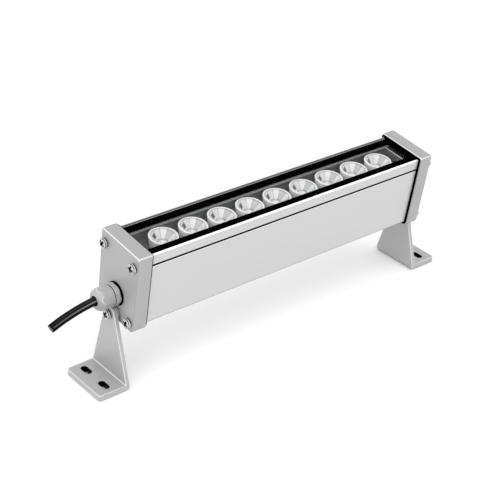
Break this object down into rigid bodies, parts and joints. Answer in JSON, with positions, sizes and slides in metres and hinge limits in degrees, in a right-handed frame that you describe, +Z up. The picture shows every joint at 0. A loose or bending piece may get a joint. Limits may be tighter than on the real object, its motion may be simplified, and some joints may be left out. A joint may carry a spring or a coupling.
{
  "type": "wall washer light",
  "caption": "Linear outdoor wall washer light: extruded housing with a row of lenses under glass, end caps, cable gland and two foot brackets that let it tilt.",
  "frame": {"origin": "on the mounting surface under both feet, at the middle of the leaning lamp's footprint", "axes": "+X along the lamp, away from the cable gland; +Z up from the mounting surface; -Y is the side that the lamp leans to"},
  "size_m": [0.3887, 0.0539, 0.1231],
  "materials": {
    "anodised_aluminium": "silver anodised, fine brushed extrusion",
    "cast_aluminium": "satin grey lacquered casting",
    "bracket_aluminium": "satin grey lacquered plate",
    "black_rubber": "matt black silicone",
    "cover_glass": "clear tempered glass",
    "dark_tray": "dark grey, satin",
    "lens_holder": "light grey, satin",
    "clear_lens": "clear moulded acrylic",
    "led_phosphor": "clear dome over yellow phosphor",
    "white_board": "white solder mask",
    "stainless_steel": "bright stainless",
    "green_board": "green laminate",
    "driver_core": "dark ferrite and tape",
    "capacitor_sleeve": "dark blue sleeve",
    "copper_winding": "enamelled copper",
    "wire_sleeve": "coloured wire sleeves",
    "nylon_grey": "light grey nylon, slightly bluish",
    "cord_sheath": "black rubber sheath, satin"
  },
  "bodies": {
    "left_bracket": {"left_bracket": "bracket_aluminium"},
    "lamp": {"housing": "anodised_aluminium", "left_end_cap": "cast_aluminium", "right_end_cap": "cast_aluminium", "left_gasket": "black_rubber", "right_gasket": "black_rubber", "cover_glass": "cover_glass", "front_border_seal": "black_rubber", "rear_border_seal": "black_rubber", "left_border_seal": "black_rubber", "right_border_seal": "black_rubber", "lens_tray": "dark_tray", "lens_holders": "lens_holder", "lenses": "clear_lens", "led_emitters": "led_phosphor", "light_board": "white_board", "board_screws": "stainless_steel", "left_cap_screws": "stainless_steel", "right_cap_screws": "stainless_steel", "left_cap_washers": "stainless_steel", "right_cap_washers": "stainless_steel", "driver_board": "green_board", "driver_transformer": "driver_core", "driver_capacitors": "capacitor_sleeve", "driver_choke": "copper_winding", "driver_terminals": "green_board", "led_leads": "copper_winding", "supply_leads": "wire_sleeve", "gland_body": "nylon_grey", "gland_o_ring": "black_rubber", "gland_lock_nut": "nylon_grey", "gland_seal": "black_rubber", "gland_dome_nut": "nylon_grey", "cord_tail": "cord_sheath", "supply_cord": "cord_sheath", "left_pivot_bolt": "stainless_steel", "right_pivot_bolt": "stainless_steel", "left_pivot_washer": "stainless_steel", "right_pivot_washer": "stainless_steel", "left_pivot_spacer": "stainless_steel", "right_pivot_spacer": "stainless_steel"},
    "right_bracket": {"right_bracket": "bracket_aluminium"}
  },
  "joints": [
    {"name": "lamp_tilt", "type": "hinge", "parent": "left_bracket", "child": "lamp", "pos_m": [-0.1539, 0.00358, 0.0583], "axis": [1, 0, 0], "range_deg": [-43.5, 30.5]},
    {"name": "right_bracket_turn", "type": "hinge", "parent": "lamp", "child": "right_bracket", "pos_m": [0.1539, 0.00358, 0.0583], "axis": [1, 0, 0], "range_deg": [-30.5, 43.5]}
  ],
  "couplings": [
    {"joint": "right_bracket_turn", "follows": "lamp_tilt", "ratio": -1}
  ]
}
